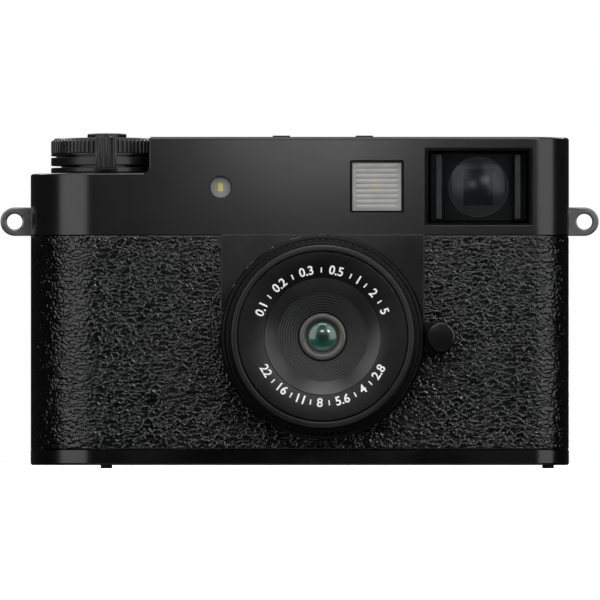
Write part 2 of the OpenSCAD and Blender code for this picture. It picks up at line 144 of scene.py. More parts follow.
def noise_node(nodes, links, scale, detail, stretch=(1, 1, 1)):
    """Noise over object coordinates; scale is in features per metre."""
    coords = nodes.new("ShaderNodeTexCoord")
    mapping = nodes.new("ShaderNodeMapping")
    texture = nodes.new("ShaderNodeTexNoise")
    set_inputs(mapping, {"Scale": stretch})
    set_inputs(texture, {"Scale": scale, "Detail": detail, "Roughness": 0.55})
    links.new(coords.outputs["Object"], mapping.inputs["Vector"])
    links.new(mapping.outputs["Vector"], texture.inputs["Vector"])
    return texture


def ramp_node(nodes, links, source, low, high):
    """Maps the middle of a 0..1 factor to a range of greys or colours."""
    ramp = nodes.new("ShaderNodeValToRGB")
    first, last = ramp.color_ramp.elements
    first.position, last.position = 0.3, 0.7
    first.color = low if isinstance(low, tuple) else (low, low, low, 1)
    last.color = high if isinstance(high, tuple) else (high, high, high, 1)
    links.new(source, ramp.inputs["Fac"])
    return ramp.outputs["Color"]


def surface(name, colour, roughness=0.4, metallic=0.0, vary=0.12, rough_vary=0.06, grain=2500,
            bump=0.02, bump_scale=9000, stretch=(1, 1, 1), specular=0.5, coat=0.0,
            coat_roughness=0.1):
    """A procedural finish: colour and roughness vary with noise, with fine bump."""
    material, nodes, links = new_material(name)
    output = nodes.new("ShaderNodeOutputMaterial")
    shader = nodes.new("ShaderNodeBsdfPrincipled")
    set_inputs(shader, {"Metallic": metallic, "Coat Weight": coat,
                        "Coat Roughness": coat_roughness, "Specular IOR Level": specular})
    links.new(shader.outputs["BSDF"], output.inputs["Surface"])
    patches = noise_node(nodes, links, grain * 0.1, 5.0, stretch)
    dark = tuple(c * (1 - vary) for c in colour) + (1,)
    light = tuple(c * (1 + vary) for c in colour) + (1,)
    base = ramp_node(nodes, links, patches.outputs["Fac"], dark, light)
    links.new(base, shader.inputs["Base Color"])
    smudges = noise_node(nodes, links, grain * 0.03, 3.0, stretch)
    links.new(ramp_node(nodes, links, smudges.outputs["Fac"], roughness - rough_vary,
                        roughness + rough_vary), shader.inputs["Roughness"])
    if bump:
        relief = noise_node(nodes, links, bump_scale, 3.0, stretch)
        bump_node = nodes.new("ShaderNodeBump")
        set_inputs(bump_node, {"Strength": min(1.0, bump * 5), "Distance": bump * MM})
        links.new(relief.outputs["Fac"], bump_node.inputs["Height"])
        links.new(bump_node.outputs["Normal"], shader.inputs["Normal"])
    return material


def blended(nodes, links, first, second, output):
    """Mixes two shaders into the output and returns the mixing node."""
    blend = nodes.new("ShaderNodeMixShader")
    links.new(first, blend.inputs[1])
    links.new(second, blend.inputs[2])
    links.new(blend.outputs["Shader"], output.inputs["Surface"])
    return blend


def clear_glass(name, tint, ior, gloss_roughness, density):
    """Thin coated glass: see-through with a Fresnel gloss; density is the share let through."""
    material, nodes, links = new_material(name)
    output = nodes.new("ShaderNodeOutputMaterial")
    through = nodes.new("ShaderNodeBsdfTransparent")
    gloss = nodes.new("ShaderNodeBsdfGlossy")
    fresnel = nodes.new("ShaderNodeFresnel")
    set_inputs(fresnel, {"IOR": ior})
    set_inputs(gloss, {"Roughness": gloss_roughness, "Color": (1, 1, 1, 1)})
    haze = noise_node(nodes, links, 300, 2.0)
    low = tuple(c * density * 0.96 for c in tint) + (1,)
    high = tuple(c * density for c in tint) + (1,)
    links.new(ramp_node(nodes, links, haze.outputs["Fac"], low, high), through.inputs["Color"])
    blend = blended(nodes, links, through.outputs["BSDF"], gloss.outputs["BSDF"], output)
    links.new(fresnel.outputs["Fac"], blend.inputs["Fac"])
    return material


def coated_lens(name):
    """Glass of a lens: dark green under a clear gloss, with a painted highlight that makes it paler
    towards the edge.
    """
    material = surface(name, (0.01, 0.05, 0.035), 0.2, bump=0.0, rough_vary=0.03, coat=1.0,
                       coat_roughness=0.06)
    nodes, links = material.node_tree.nodes, material.node_tree.links
    coords = nodes.new("ShaderNodeTexCoord")
    middle = nodes.new("ShaderNodeVectorMath")
    middle.operation = "SUBTRACT"
    middle.inputs[1].default_value = (LENS.x * MM, 0, LENS.z * MM)
    flatten = nodes.new("ShaderNodeVectorMath")
    flatten.operation = "MULTIPLY"
    flatten.inputs[1].default_value = (330, 0, 330)
    reach = nodes.new("ShaderNodeVectorMath")
    reach.operation = "LENGTH"
    # Painted highlight: the ramp runs from the glass's own dark green in the middle to a paler ring
    # at its edge.
    green_and_edge_highlight = nodes.new("ShaderNodeValToRGB")
    green_and_edge_highlight.color_ramp.elements[0].color = (0.004, 0.018, 0.014, 1)
    green_and_edge_highlight.color_ramp.elements[1].color = (0.1, 0.15, 0.13, 1)
    for place, colour in ((0.35, (0.006, 0.04, 0.028, 1)), (0.8, (0.02, 0.085, 0.06, 1))):
        green_and_edge_highlight.color_ramp.elements.new(place).color = colour
    links.new(coords.outputs["Object"], middle.inputs[0])
    links.new(middle.outputs["Vector"], flatten.inputs[0])
    links.new(flatten.outputs["Vector"], reach.inputs[0])
    links.new(reach.outputs["Value"], green_and_edge_highlight.inputs["Fac"])
    links.new(green_and_edge_highlight.outputs["Color"], nodes["Principled BSDF"].inputs["Base Color"])
    return material


def frosted(name, colour, share):
    """Milky plastic: a share of the light passes straight through, the rest scatters."""
    material = surface(name, colour, 0.25, bump=0.01)
    nodes, links = material.node_tree.nodes, material.node_tree.links
    through = nodes.new("ShaderNodeBsdfTransparent")
    blend = blended(nodes, links, through.outputs["BSDF"],
                    nodes["Principled BSDF"].outputs["BSDF"], nodes["Material Output"])
    set_inputs(blend, {"Fac": 1 - share})
    return material


COVER = surface("cover_paint", (0.005, 0.005, 0.0053), 0.24, bump=0.003, bump_scale=14000,
                rough_vary=0.02)
PLASTIC = surface("shell_plastic", (0.017, 0.017, 0.018), 0.48, bump=0.02, bump_scale=12000)
BASE_PAINT = surface("base_paint", (0.001, 0.001, 0.0011), 0.2, bump=0.004, bump_scale=14000)
LEATHER = surface("leather_wrap", (0.001, 0.001, 0.0011), 0.17, bump=0.01, bump_scale=16000,
                  vary=0.3, rough_vary=0.08, grain=6000, specular=0.47)
PANEL = surface("lens_panel_paint", (0.0024, 0.0024, 0.0026), 0.24, bump=0.004, bump_scale=15000)
LUG = surface("lug_plating", (0.16, 0.16, 0.165), 0.36, metallic=1.0, stretch=(1, 1, 6),
              bump=0.01)
ALLOY = surface("bare_alloy", (0.55, 0.56, 0.58), 0.35, metallic=1.0, bump=0.01)
SHOE = surface("shoe_metal", (0.03, 0.03, 0.032), 0.34, metallic=0.8, stretch=(1, 8, 1),
               bump=0.01)
RUBBER = surface("foot_rubber", (0.014, 0.014, 0.014), 0.7, bump=0.03)
LENS_METAL = surface("lens_metal", (0.004, 0.004, 0.0043), 0.3, bump=0.004)
RING_METAL = surface("ring_metal", (0.0015, 0.0015, 0.0016), 0.4, bump=0.004, specular=0.15)
NAME_METAL = surface("name_ring_metal", (0.002, 0.002, 0.0022), 0.3, bump=0.004,
                     specular=0.36)
BAFFLE = surface("lens_baffle", (0.016, 0.016, 0.0165), 0.36, bump=0.003)
BEZEL_METAL = surface("bezel_metal", (0.13, 0.118, 0.115), 0.34, metallic=0.7, bump=0.004)
KNOB_METAL = surface("knob_metal", (0.002, 0.002, 0.0021), 0.22, bump=0.004)
CONTROL = surface("control_metal", (0.0065, 0.0065, 0.007), 0.33, metallic=0.2, bump=0.004)
WINDOW = surface("window_plastic", (0.001, 0.001, 0.001), 0.25, bump=0.003, specular=0.1)
MASK = surface("mask_plastic", (0.006, 0.006, 0.0062), 0.5, bump=0.01, specular=0.1)
BARS = surface("mask_bars", (0.045, 0.045, 0.045), 0.5, bump=0.01, specular=0.15)
LED = surface("led_phosphor", (0.8, 0.66, 0.12), 0.4, bump=0.02)
REFLECTOR = surface("lamp_reflector", (0.75, 0.75, 0.74), 0.45, bump=0.01)
LAMP_DISH = surface("lamp_dish", (0.32, 0.32, 0.295), 0.4, bump=0.01)
BOARD = surface("circuit_board", (0.02, 0.11, 0.05), 0.4, bump=0.02, vary=0.4)
SENSOR = surface("sensor_chip", (0.06, 0.05, 0.1), 0.15, bump=0.0)
SPRING = surface("spring_steel", (0.6, 0.6, 0.62), 0.25, metallic=1.0, bump=0.004)
SCREEN = surface("display_glass", (0.004, 0.004, 0.005), 0.08, bump=0.0, rough_vary=0.02,
                 coat=1.0, coat_roughness=0.03)
PICTURE = surface("picture_area", (0.012, 0.013, 0.016), 0.1, bump=0.0, rough_vary=0.02,
                  coat=1.0, coat_roughness=0.03)
MODULE = surface("display_module", (0.03, 0.03, 0.033), 0.5)
PORT = surface("port_metal", (0.55, 0.55, 0.57), 0.28, metallic=1.0, bump=0.006)
BATTERY = surface("battery_case", (0.03, 0.03, 0.032), 0.4)
CARD = surface("card_plastic", (0.02, 0.035, 0.09), 0.4)
INK = surface("white_ink", (0.85, 0.85, 0.84), 0.55, bump=0.01, vary=0.05)
LENS_GLASS = coated_lens("coated_lens_glass")
GLASS = clear_glass("optic_glass", (0.95, 1.0, 0.97), 1.35, 0.25, 0.92)
DARK_GLASS = clear_glass("finder_glass", (0.98, 0.99, 1.0), 1.12, 0.02, 0.95)
OBJECTIVE = clear_glass("objective_glass", (0.97, 0.98, 1.0), 1.38, 0.22, 0.95)
# Painted shade: the eyepiece is an opaque near-black surface that stands for the dark seen through
# the finder.
EYEPIECE_SHADE = surface("eyepiece_painted_shade", (0.002, 0.002, 0.002), 0.1, bump=0.0, rough_vary=0.02,
                    specular=0.2)
FLASH_GLASS = frosted("flash_window", (0.46, 0.46, 0.45), 0.52)


FINISHES = (
    (COVER, "top_cover battery_door"), (BASE_PAINT, "bottom_plate"),
    (PLASTIC, "front_shell rear_cover usb_flap focus_cell iris_unit"),
    (WINDOW, "finder_tube finder_bezel flash_bezel"), (LEATHER, "front_leather thumb_rest"),
    (PANEL, "lens_panel"), (LUG, "strap_lugs cover_screws"), (ALLOY, "chassis tripod_socket"),
    (SHOE, "cold_shoe"), (RUBBER, "feet eyecup"),
    (RING_METAL, "lens_flange aperture_ring focus_ring"), (LENS_METAL, "lens_barrel iris_blades"),
    (NAME_METAL, "name_ring"), (BEZEL_METAL, "front_bezel"), (BAFFLE, "front_baffle"),
    (KNOB_METAL, "aperture_knob"), (LENS_GLASS, "front_element"),
    (GLASS, "middle_element rear_element sensor_glass"),
    (DARK_GLASS, "finder_window af_lamp_lens"), (OBJECTIVE, "finder_objective"),
    (EYEPIECE_SHADE, "finder_eyepiece"), (FLASH_GLASS, "flash_lens"), (SENSOR, "sensor"),
    (BOARD, "main_board"), (MASK, "finder_mask"), (REFLECTOR, "flash_led"),
    (LED, "af_lamp_led"), (SPRING, "button_spring"),
    (CONTROL, "control_sleeve stack_washers shutter_button exposure_dial power_lever "
              "advance_lever battery_latch playback_button"),
    (SCREEN, "main_display_glass side_display_glass"), (MODULE, "main_display side_display"),
    (PORT, "usb_socket"), (BATTERY, "battery"), (CARD, "memory_card"),
)
NODE_MATERIAL = {node: finish for finish, nodes in FINISHES for node in nodes.split()}
for node_name, finish in NODE_MATERIAL.items():
    mesh = frame["nodes"][node_name].data
    mesh.materials.clear()
    mesh.materials.append(finish)


# -------- mesh helpers

def add_mesh(name, vertices, faces, material, node, smooth, stands_for_node=True):
    """A piece from points in millimetres that rides on a CAD node's body. Edges sharper than
    smooth degrees stay sharp."""
    mesh = new_mesh(name, vertices, faces)
    piece = new_object(name, mesh)
    with Edited(mesh) as work:
        bmesh.ops.remove_doubles(work, verts=work.verts, dist=0.0005 * MM)
        bmesh.ops.recalc_face_normals(work, faces=work.faces)
    mesh.materials.append(material)
    shade(mesh, smooth)
    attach(piece, NODE_BODY[node])
    if stands_for_node:
        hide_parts(node)


def shade(mesh, angle):
    mesh.polygons.foreach_set("use_smooth", [True] * len(mesh.polygons))
    mesh.set_sharp_from_angle(angle=math.radians(angle))


def apply_modifiers(piece):
    """Bakes the modifiers into the mesh, so the piece is a plain mesh afterwards."""
    graph = bpy.context.evaluated_depsgraph_get()
    graph.update()
    baked = bpy.data.meshes.new_from_object(piece.evaluated_get(graph))
    piece.modifiers.clear()
    old = piece.data
    piece.data = baked
    bpy.data.meshes.remove(old)


def refined(node, width):
    """A CAD node's own shape with rounded edges in place of its sharp ones."""
    mesh = frame["nodes"][node].data.copy()
    mesh.name = node + "_rounded"
    if "custom_normal" in mesh.attributes:
        mesh.attributes.remove(mesh.attributes["custom_normal"])
    with Edited(mesh) as work:
        bmesh.ops.remove_doubles(work, verts=work.verts, dist=0.002 * MM)
        bmesh.ops.dissolve_limit(work, angle_limit=math.radians(0.5), verts=work.verts,
                                 edges=work.edges)
        many_sided = [face for face in work.faces if len(face.verts) > 4]
        bmesh.ops.triangulate(work, faces=many_sided, quad_method="BEAUTY", ngon_method="BEAUTY")
        weights = work.edges.layers.float.new("bevel_weight_edge")
        for edge in work.edges:
            if edge.is_manifold and edge.calc_face_angle(0) > math.radians(32):
                edge[weights] = 1.0
    piece = new_object(node + "_rounded", mesh)
    shade(mesh, 40)
    bevel = piece.modifiers.new("edges", "BEVEL")
    bevel.width = width * MM
    bevel.segments = 3
    bevel.limit_method = "WEIGHT"
    bevel.use_clamp_overlap = False
    piece.modifiers.new("normals", "WEIGHTED_NORMAL").keep_sharp = True
    apply_modifiers(piece)
    piece.data.materials.clear()
    piece.data.materials.append(NODE_MATERIAL[node])
    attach(piece, NODE_BODY[node])
    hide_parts(node)


def round_corners(points):
    """Closed profile of (radius, height, corner radius) points, with its corners rounded."""
    rounded_points = []
    count, steps = len(points), 4
    for i, point in enumerate(points):
        here = Vector(point[:2])
        before = Vector(points[i - 1][:2]) - here
        after = Vector(points[(i + 1) % count][:2]) - here
        corner = point[2] if len(point) > 2 else 0
        reach = min(corner, before.length * 0.45, after.length * 0.45)
        if reach < 1e-4:
            rounded_points.append(here)
            continue
        start = here + before.normalized() * reach
        end = here + after.normalized() * reach
        for k in range(steps + 1):
            t = k / steps
            rounded_points.append(start * (1 - t) ** 2 + here * 2 * t * (1 - t) + end * t * t)
    return rounded_points


def forward_place(centre):
    """Polar places about an axis that points forward; height is forward."""
    def place(radius, angle, height):
        return (centre.x + radius * math.cos(angle), -height,
                centre.z + radius * math.sin(angle))
    return place


def stack_place(radius, angle, height):
    """Polar place about the control stack; height is the level above the floor."""
    return (STACK.x + radius * math.cos(angle), STACK.y + radius * math.sin(angle), height)


lens_place, knob_place = forward_place(LENS), forward_place(KNOB)


def turned_faces(ring, count):
    """Faces between count copies of a closed profile of ring points, round an axis."""
    faces = []
    for s in range(count):
        here, beyond = s * ring, (s + 1) % count * ring
        for k in range(ring):
            after = (k + 1) % ring
            faces.append((here + k, here + after, beyond + after, beyond + k))
    return faces


def lathe(name, points, place, material, node, segments, smooth=28):
    """A closed profile of (radius, height, corner radius) points turned about an axis."""
    profile = round_corners(points)
    vertices = [place(max(p[0], 0.0), TURN * s / segments, p[1])
                for s in range(segments) for p in profile]
    add_mesh(name, vertices, turned_faces(len(profile), segments), material, node, smooth)


def open_edges(faces):
    """Edges that only one face uses, in that face's direction."""
    edges = {}
    for face in faces:
        for j, v in enumerate(face):
            edge = (v, face[(j + 1) % len(face)])
            if (edge[1], edge[0]) in edges:
                del edges[(edge[1], edge[0])]
            else:
                edges[edge] = True
    return edges


# -------- leather covering

def wrap_path(spacing):
    """Points and outward normals along the body outline, from one rear edge to the other."""
    low, high = LEATHER_LOW, LEATHER_HIGH
    path = []

    def line(start, end, normal):
        steps = max(1, round((Vector(end) - Vector(start)).length / spacing))
        for i in range(steps):
            t = i / steps
            path.append((start[0] + (end[0] - start[0]) * t, start[1] + (end[1] - start[1]) * t,
                         normal[0], normal[1]))

    def arc(cx, cy, radius, start, end):
        steps = max(1, round(radius * abs(end - start) / spacing))
        for i in range(steps):
            a = start + (end - start) * i / steps
            path.append((cx + radius * math.cos(a), cy + radius * math.sin(a),
                         math.cos(a), math.sin(a)))

    line((low.x, high.y), (low.x, low.y + GRIP_R), (-1, 0))
    arc(low.x + GRIP_R, low.y + GRIP_R, GRIP_R, math.pi, 1.5 * math.pi)
    line((low.x + GRIP_R, low.y), (high.x - FAR_R, low.y), (0, -1))
    arc(high.x - FAR_R, low.y + FAR_R, FAR_R, 1.5 * math.pi, TURN)
    line((high.x, low.y + FAR_R), (high.x, high.y), (1, 0))
    path.append((high.x, high.y, 1, 0))
    return path


def grain_height(along, up):
    """Leather relief from 0 in the creases to 1 on the pebbles, which are flat stretched cells."""
    sway = noise.noise(Vector((along * 0.5, up * 0.5, 3.0)))
    twist = noise.noise(Vector((along * 1.3, up * 1.3, 8.0)))
    point = Vector((along * 0.58 + sway * 0.8, up * 1.3 + twist * 0.55, 0.0))
    distances = noise.voronoi(point, distance_metric="DISTANCE")[0]
    cell = min(1.0, (distances[1] - distances[0]) * 6.5)
    fine = Vector((along * 1.25 + twist * 0.4, up * 2.3 + sway, 5.0))
    small = noise.voronoi(fine, distance_metric="DISTANCE")[0]
    crease = min(1.0, (small[1] - small[0]) * 6.5)
    return 0.66 * cell + 0.26 * crease + 0.08 * (0.5 + 0.5 * twist)


def inside_panel(x, z):
    """True behind the smooth lens panel, which has straight sides and a round bottom."""
    dx, dz = x - LENS.x, z - LENS.z
    return abs(dx) < PANEL_HALF if dz > 0 else math.hypot(dx, dz) < PANEL_HALF


def leather_wrap():
    """One closed sheet round the front with real relief, cut away behind the lens panel."""
    spacing = 0.13
    relief, thickness, soft_edge = 0.2, 0.67, 0.5
    path = wrap_path(spacing)
    height = LEATHER_HIGH.z - LEATHER_LOW.z
    rows = round(height / spacing)
    front, back = [], []
    along = 0.0
    for i, (x, y, nx, ny) in enumerate(path):
        if i:
            along += math.hypot(x - path[i - 1][0], y - path[i - 1][1])
        for k in range(rows + 1):
            up = height * k / rows
            edge = min(up, height - up, soft_edge) / soft_edge
            rounding = 0.3 * (1 - math.sin(edge * math.pi / 2))
            green_and_edge_highlight = 0.02 + relief * (1 - grain_height(along, up)) * (0.35 + 0.65 * edge) + rounding
            z = LEATHER_LOW.z + up
            front.append((x - nx * green_and_edge_highlight, y - ny * green_and_edge_highlight, z))
            back.append((x - nx * thickness, y - ny * thickness, z))
    count, total = rows + 1, len(front)
    quads = []
    for i in range(len(path) - 1):
        for k in range(rows):
            a = i * count + k
            quad = (a, a + count, a + count + 1, a + 1)
            middle = (Vector(front[quad[0]]) + Vector(front[quad[2]])) / 2
            if middle.y >= LEATHER_LOW.y + 1 or not inside_panel(middle.x, middle.z):
                quads.append(quad)
    faces = []
    for quad in quads:
        faces += [quad, tuple(v + total for v in reversed(quad))]
    faces += [(b, a, a + total, b + total) for a, b in open_edges(quads)]
    used = sorted({v for face in faces for v in face})
    renumber = {v: n for n, v in enumerate(used)}
    points = front + back
    add_mesh("leather_wrap", [points[v] for v in used],
             [tuple(renumber[v] for v in face) for face in faces], LEATHER, "front_leather", 50)


leather_wrap()


# -------- covers and small hardware

def plan(inset, left):
    """Body outline from above, inset inwards; left may cut it off short of the controls."""
    low_x, high_x = BODY_LOW.x, BODY_HIGH.x
    front_left, rear_left = GRIP_R, REAR_R
    if left is not None:
        low_x, front_left, rear_left = left, 0.35, 0.35
    corners = [(low_x, BODY_LOW.y, 1, 1, front_left, math.pi),
               (high_x, BODY_LOW.y, -1, 1, FAR_R, 1.5 * math.pi),
               (high_x, BODY_HIGH.y, -1, -1, REAR_R, 0.0),
               (low_x, BODY_HIGH.y, 1, -1, rear_left, 0.5 * math.pi)]
    points = []
    for x, y, sx, sy, radius, start in corners:
        kept = max(radius - inset, 0.02)
        cx, cy = x + sx * (inset + kept), y + sy * (inset + kept)
        for k in range(CORNER_STEPS + 1):
            a = start + 0.5 * math.pi * k / CORNER_STEPS
            points.append((cx + kept * math.cos(a), cy + kept * math.sin(a)))
    return points


def loose(name, vertices, faces):
    """A working solid that is used up by a cut or a join."""
    mesh = new_mesh(name, vertices, faces)
    with Edited(mesh) as work:
        bmesh.ops.recalc_face_normals(work, faces=work.faces)
    return new_object(name, mesh)


def loft(name, rings):
    """A closed solid through rings of the same number of points."""
    count = len(rings[0])
    vertices = [point for ring in rings for point in ring]
    faces = [tuple(reversed(range(count))),
             tuple(range((len(rings) - 1) * count, len(rings) * count))]
    for r in range(len(rings) - 1):
        for k in range(count):
            a, b = r * count + k, r * count + (k + 1) % count
            faces.append((a, b, b + count, a + count))
    return loose(name, vertices, faces)


def slab(name, low, high, top_round=0.0, low_round=0.0, inset=0.0, left=None):
    """The body outline between two levels, with rounded upper and lower edges."""
    quarter = [0.5 * math.pi * k / 6 for k in range(7)]
    levels = [(low + low_round * (1 - math.cos(a)), inset + low_round * (1 - math.sin(a)))
              for a in (quarter if low_round else quarter[:1])]
    levels += [(high - top_round * (1 - math.sin(a)), inset + top_round * (1 - math.cos(a)))
               for a in (quarter if top_round else quarter[:1])]
    return loft(name, [[(x, y, z) for x, y in plan(green_and_edge_highlight, left)] for z, green_and_edge_highlight in levels])


def block(x, y, z):
    corners = [(x[i], y[j]) for i, j in ((0, 0), (1, 0), (1, 1), (0, 1))]
    return loft("block", [[(a, b, level) for a, b in corners] for level in z])


def upright_post(cx, cy, rings, steps=96):
    """A turned solid on an upright axis from (radius, level) pairs."""
    return loft("post", [[(cx + r * math.cos(TURN * k / steps), cy + r * math.sin(TURN * k / steps),
                           z) for k in range(steps)] for r, z in rings])


def forward_post(cx, cz, rings, steps=64):
    """A turned solid along Y from (radius, y) pairs."""
    return loft("rod", [[(cx + r * math.cos(TURN * k / steps), y,
                          cz + r * math.sin(TURN * k / steps)) for k in range(steps)]
                        for r, y in rings])


def rounded_frame(x, z, y, grow=0.0):
    """A rectangle at one depth with its corners rounded, grown outwards by some width."""
    corner = 0.35
    ring = []
    for cx, cz, start in ((x[1], z[1], 0), (x[0], z[1], 1), (x[0], z[0], 2), (x[1], z[0], 3)):
        sx, sz = (-1 if cx == x[1] else 1), (-1 if cz == z[1] else 1)
        r = corner + grow
        for k in range(5):
            a = 0.5 * math.pi * (start + k / 4)
            ring.append((cx + sx * corner + r * math.cos(a), y,
                         cz + sz * corner + r * math.sin(a)))
    return ring


def window_cutter(x, z):
    """A rounded rectangular hole from the front with a small bevel at its mouth."""
    bevel, face = 0.14, BODY_LOW.y
    return loft("window", [rounded_frame(x, z, y, grow) for grow, y in (
        (bevel + 2, face - 2), (bevel, face), (0, face + bevel), (0, 0))])


def combine(solid, tool, operation="DIFFERENCE"):
    """Cuts the tool out of the solid, or joins it on; the tool is used up."""
    step = solid.modifiers.new("combine", "BOOLEAN")
    step.operation, step.solver, step.object = operation, "EXACT", tool
    apply_modifiers(solid)
    spent = tool.data
    bpy.data.objects.remove(tool)
    bpy.data.meshes.remove(spent)


def finished(solid, node):
    """Turns a working solid into the looks of a CAD node."""
    with Edited(solid.data) as work:
        bmesh.ops.remove_doubles(work, verts=work.verts, dist=0.0008 * MM)
        bmesh.ops.dissolve_limit(work, angle_limit=math.radians(0.2), verts=work.verts,
                                 edges=work.edges)
    shade(solid.data, 28)
    solid.modifiers.new("normals", "WEIGHTED_NORMAL").keep_sharp = True
    apply_modifiers(solid)
    solid.name = solid.data.name = node + "_finished"
    solid.data.materials.clear()
    solid.data.materials.append(NODE_MATERIAL[node])
    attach(solid, NODE_BODY[node])
    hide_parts(node)


def loose_piece(solid, name, material, node):
    """Turns a working solid into a piece of its own beside a CAD node."""
    solid.name = solid.data.name = name
    solid.data.materials.clear()
    solid.data.materials.append(material)
    shade(solid.data, 30)
    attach(solid, NODE_BODY[node])


def top_cover():
    """The stepped cover with its openings, built from the body outline."""
    low, top = BODY_LOW.z, BODY_HIGH.z
    shoe = box_mm("cold_shoe")
    middle = (shoe[0].x + shoe[1].x) / 2
    recess = box_mm("exposure_dial")[1].x - STACK.x + 0.9
    channel_half, channel_floor = 9.9, 61.95
    shelf_half, shelf_underside = 11.3, 60.6
    finder_levels = (47.62, 62.72)
    cover = slab("cover", low, DECK, top_round=0.45)
    combine(cover, slab("raised", DECK - 2.5, top, top_round=0.6, left=STEP_X), "UNION")
    # A 1 mm fillet at the foot of the step.
    fillet = block((STEP_X - 1, STEP_X + 0.5), (BODY_LOW.y, 2), (DECK - 0.6, DECK + 1))
    combine(fillet, forward_post(STEP_X - 1, DECK + 1, [(1, -20), (1, 20)], 48))
    combine(cover, fillet, "UNION")
    # The inside, with walls left round the controls and under the shoe.
    combine(cover, slab("hollow", low - 1, DECK - 1.4, inset=WALL))
    hollow = slab("upper_hollow", DECK - 2, top - 1.5, inset=WALL, left=STEP_X + 0.3)
    combine(hollow, upright_post(STACK.x, STACK.y, [(recess + 1.4, 0), (recess + 1.4, 80)]))
    combine(hollow, block((middle - shelf_half, middle + shelf_half), (0, 30),
                          (shelf_underside, 70)))
    combine(cover, hollow)
    # The round recess behind the dial, the shoe's channel and the bore of the controls.
    combine(cover, upright_post(STACK.x, STACK.y, [
        (recess, DECK + 0.002), (recess, top - 0.3), (recess + 0.09, top - 0.09),
        (recess + 0.3, top), (recess + 2, top + 1.7)], 180))
    combine(cover, block((middle - channel_half, middle + channel_half),
                         (shoe[0].y - 0.05, 30), (channel_floor, 70)))
    combine(cover, upright_post(STACK.x, STACK.y, [(BORE_R, 50), (BORE_R, 60)]))
    # Front openings, the eyepiece opening and the slots of the strap lugs.
    face = BODY_LOW.y
    combine(cover, forward_post(LAMP.x, LAMP.z, [
        (4.2, face - 2), (2.2, face), (2.07, face + 0.13), (2.07, 0)]))
    combine(cover, window_cutter((FLASH.x - 5.15, FLASH.x + 5.15),
                                 (FLASH.z - 5.05, FLASH.z + 5.05)))
    combine(cover, window_cutter((FINDER.x - 10.4, FINDER.x + 10.4), finder_levels))
    combine(cover, block((FINDER.x - 6.5, FINDER.x + 6.5), (15, 30),
                         (FINDER.z - 5, FINDER.z + 5)))
    for side in ((50, 60), (-60, -50)):
        combine(cover, block(side, (7.5, 9.5), (40, 51.45)))
    finished(cover, "top_cover")


def bottom_plate():
    """The base with its battery opening, hinge groove, tripod bore and screw seats."""
    low, high = BASE_LOW.z, BASE_HIGH.z
    socket = centre_mm("tripod_socket")
    door_left, door_right, door_depth = -48.8, -12.2, (-1.0, 18.8)
    plate = slab("plate", low, high, low_round=0.45)
    combine(plate, slab("hollow", low + 1.2, high + 1, inset=WALL))
    combine(plate, block((door_left, door_right), door_depth, (0, 3)))
    combine(plate, block((door_right - 0.1, door_right + 0.65), door_depth, (0, 2.02)))
    combine(plate, upright_post(socket.x, socket.y, [(5, 0), (5, 5)]))
    for x, y in SCREWS:
        combine(plate, upright_post(x, y, [(1.55, low - 0.2), (1.35, low + 0.12),
                                           (1.35, low + 0.65)], 40))
        combine(plate, upright_post(x, y, [(0.75, 0), (0.75, 5)], 32))
    finished(plate, "bottom_plate")


top_cover()
bottom_plate()
for node_name, edge in (("rear_cover", 0.15), ("lens_panel", 0.12), ("strap_lugs", 0.3),
                        ("cold_shoe", 0.15), ("finder_mask", 0.12),
                        ("power_lever", 0.1), ("advance_lever", 0.15),
                        ("eyecup", 0.6), ("thumb_rest", 0.35), ("battery_door", 0.1),
                        ("battery_latch", 0.08), ("usb_flap", 0.1), ("aperture_ring", 0.15),
                        ("feet", 0.1), ("playback_button", 0.2)):
    refined(node_name, edge)


# -------- lens

def dish(radius):
    """Front face of the name ring: a shallow cone that rises outwards."""
    return RIM - 1.1 + (radius - 11.4) * 0.1


def lens_pieces():
    """The turned parts of the lens that don't move."""
    low, high = box_mm("lens_barrel")
    rim_r = (high.x - low.x) / 2
    lathe("lens_barrel_tube", [
        (14.0, -high.y), (TUBE_R, -high.y), (TUBE_R, RIM - 3.9), (rim_r, RIM - 3.9, 0.2),
        (rim_r, RIM - 0.12, 0.1), (rim_r - 0.16, RIM, 0.06), (16.8, RIM, 0.06),
        (16.7, RIM - 0.1, 0.05), (16.6, RIM - 1.6), (14.0, RIM - 1.6)],
        lens_place, LENS_METAL, "lens_barrel", 256)
    lathe("name_ring_face", [
        (11.4, RIM - 2.3), (13.95, RIM - 2.3), (13.95, RIM - 1.58), (16.4, RIM - 1.58),
        (16.4, dish(16.4), 0.15), (11.4, dish(11.4), 0.15)],
        lens_place, NAME_METAL, "name_ring", 256)
    steps = [(radius - 0.5 * i, RIM - 3.3 - 0.31 * i, 0.03) for i in range(8)
             for radius in (8.7, 8.4)]
    lathe("front_baffle_steps", [
        (4.7, RIM - 6.0), (13.95, RIM - 6.0), (13.95, RIM - 2.35), (11.35, RIM - 2.35),
        (11.35, RIM - 1.25, 0.1), (8.7, RIM - 3.0, 0.1)] + steps,
        lens_place, BAFFLE, "front_baffle", 200)
    lathe("front_bezel_ring", [
        (3.0, RIM - 7.7), (4.65, RIM - 7.7), (4.65, RIM - 5.3, 0.1), (4.3, RIM - 5.0, 0.15),
        (3.6, RIM - 5.0, 0.15), (3.0, RIM - 5.8, 0.1)],
        lens_place, BEZEL_METAL, "front_bezel", 128)
    lathe("lens_flange_ring", [
        (TUBE_R + 0.02, 6.76), (19.0, 6.76, 0.1), (19.0, 9.4, 0.3), (TUBE_R + 0.02, 9.4)],
        lens_place, RING_METAL, "lens_flange", 200)
    dome = [(0.0, RIM - 7.7), (2.95, RIM - 7.7)]
    dome += [(2.95 * math.cos(t * math.pi / 24), RIM - 6.1 + 0.9 * math.sin(t * math.pi / 24))
             for t in range(13)]
    lathe("front_element_dome", dome, lens_place, LENS_GLASS, "front_element", 96, 60)


